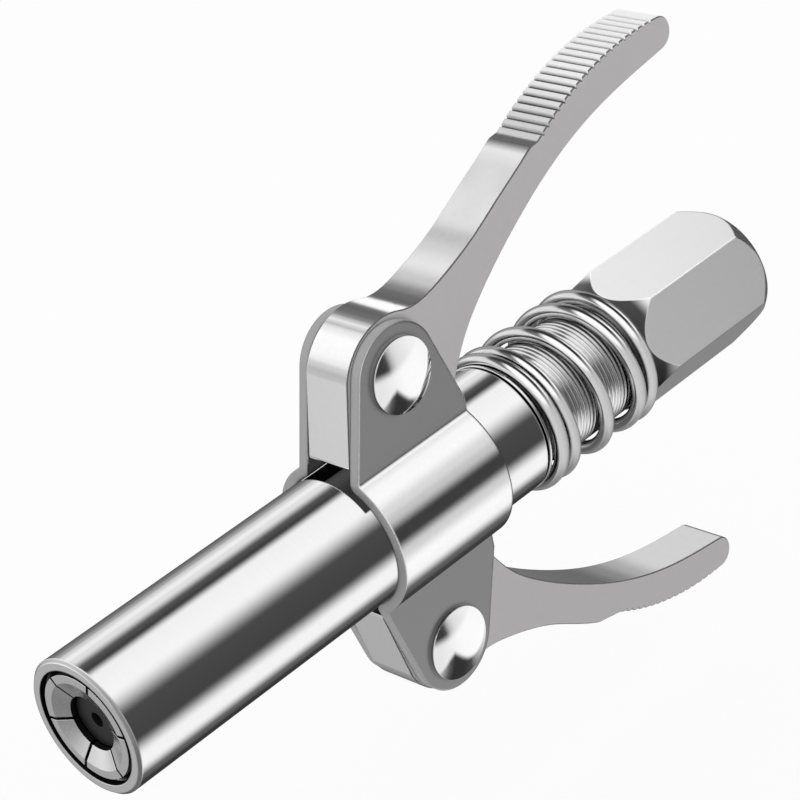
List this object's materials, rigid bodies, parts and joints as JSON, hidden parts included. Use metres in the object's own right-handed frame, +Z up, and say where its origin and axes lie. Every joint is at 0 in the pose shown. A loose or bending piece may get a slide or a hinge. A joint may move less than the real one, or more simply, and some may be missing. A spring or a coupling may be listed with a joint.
{
  "type": "grease coupler",
  "caption": "Straight twin-lever quick-release grease coupler: spring-closed jaws in a long polished sleeve, side plates with curved levers, coil spring and hexagonal threaded inlet.",
  "frame": {"origin": "centre of the jaws' grip ridge, on the coupler's axis", "axes": "+X along the coupler from the nozzle to the hexagonal inlet, +Z up through the upper lever, -Y towards the near side plate"},
  "size_m": [0.1045, 0.0186, 0.0736],
  "materials": {
    "polished_steel": "bright nickel plate, polished",
    "stamped_steel": "plated sheet, satin ears",
    "lever_steel": "plated, satin flanks",
    "rivet_steel": "polished",
    "spring_steel": "bright wire",
    "satin_steel": "plated, satin",
    "turned_steel": "turned",
    "jaw_steel": "hardened, ground",
    "ball_steel": "ground",
    "brass_seat": "turned",
    "black_rubber": "matt"
  },
  "bodies": {
    "core": {"core_tube": "turned_steel", "hex_adapter": "satin_steel", "valve_seat": "brass_seat", "jaw_ring": "black_rubber", "main_spring": "spring_steel", "seal_spring": "spring_steel", "check_spring": "spring_steel"},
    "sleeve": {"outer_sleeve": "polished_steel", "near_side_plate": "stamped_steel", "far_side_plate": "stamped_steel", "upper_rivet": "rivet_steel", "lower_rivet": "rivet_steel", "spring_washer": "spring_steel"},
    "upper_lever": {"upper_lever": "lever_steel"},
    "lower_lever": {"lower_lever": "lever_steel"},
    "seal": {"rubber_seal": "black_rubber", "seal_piston": "turned_steel", "piston_o_ring": "black_rubber"},
    "ball": {"check_ball": "ball_steel"},
    "jaw_1": {"jaw_1": "jaw_steel"},
    "jaw_2": {"jaw_2": "jaw_steel"},
    "jaw_3": {"jaw_3": "jaw_steel"},
    "jaw_4": {"jaw_4": "jaw_steel"},
    "jaw_5": {"jaw_5": "jaw_steel"},
    "jaw_6": {"jaw_6": "jaw_steel"}
  },
  "joints": [
    {"name": "sleeve_slide", "type": "slide", "parent": "core", "child": "sleeve", "axis": [1, 0, 0], "range_m": [0, 0.004], "stiffness_N_per_m": 4200, "springref_m": -0.006, "deforming": ["main_spring"]},
    {"name": "upper_lever_pivot", "type": "hinge", "parent": "sleeve", "child": "upper_lever", "pos_m": [0.0453, 0, 0.0174], "axis": [0, 1, 0], "range_deg": [0, 19.5]},
    {"name": "lower_lever_pivot", "type": "hinge", "parent": "sleeve", "child": "lower_lever", "pos_m": [0.0453, 0, -0.0174], "axis": [0, -1, 0], "range_deg": [0, 19.5]},
    {"name": "seal_slide", "type": "slide", "parent": "core", "child": "seal", "axis": [1, 0, 0], "range_m": [0, 0.004], "stiffness_N_per_m": 800, "springref_m": -0.003, "deforming": ["seal_spring"]},
    {"name": "ball_slide", "type": "slide", "parent": "core", "child": "ball", "axis": [-1, 0, 0], "range_m": [0, 0.0015], "stiffness_N_per_m": 150, "springref_m": -0.002, "deforming": ["check_spring"]},
    {"name": "jaw_1_hinge", "type": "hinge", "parent": "core", "child": "jaw_1", "pos_m": [0.01645, 0.00083, 0.00534], "axis": [0, 0.9882, -0.153], "range_deg": [0, 2.3]},
    {"name": "jaw_2_hinge", "type": "hinge", "parent": "core", "child": "jaw_2", "pos_m": [0.01645, -0.00421, 0.00338], "axis": [0, 0.6266, 0.7793], "range_deg": [0, 2.3]},
    {"name": "jaw_3_hinge", "type": "hinge", "parent": "core", "child": "jaw_3", "pos_m": [0.01645, -0.00503, -0.00195], "axis": [0, -0.3616, 0.9323], "range_deg": [0, 2.3]},
    {"name": "jaw_4_hinge", "type": "hinge", "parent": "core", "child": "jaw_4", "pos_m": [0.01645, -0.00083, -0.00534], "axis": [0, -0.9882, 0.153], "range_deg": [0, 2.3]},
    {"name": "jaw_5_hinge", "type": "hinge", "parent": "core", "child": "jaw_5", "pos_m": [0.01645, 0.00421, -0.00338], "axis": [0, -0.6266, -0.7793], "range_deg": [0, 2.3]},
    {"name": "jaw_6_hinge", "type": "hinge", "parent": "core", "child": "jaw_6", "pos_m": [0.01645, 0.00503, 0.00195], "axis": [0, 0.3616, -0.9323], "range_deg": [0, 2.3]}
  ],
  "couplings": [
    {"joint": "upper_lever_pivot", "follows": "sleeve_slide", "rad_per_m": 84.746},
    {"joint": "lower_lever_pivot", "follows": "sleeve_slide", "rad_per_m": 84.746},
    {"joint": "jaw_1_hinge", "follows": "sleeve_slide", "rad_per_m": 9.9715},
    {"joint": "jaw_2_hinge", "follows": "sleeve_slide", "rad_per_m": 9.9715},
    {"joint": "jaw_3_hinge", "follows": "sleeve_slide", "rad_per_m": 9.9715},
    {"joint": "jaw_4_hinge", "follows": "sleeve_slide", "rad_per_m": 9.9715},
    {"joint": "jaw_5_hinge", "follows": "sleeve_slide", "rad_per_m": 9.9715},
    {"joint": "jaw_6_hinge", "follows": "sleeve_slide", "rad_per_m": 9.9715}
  ]
}
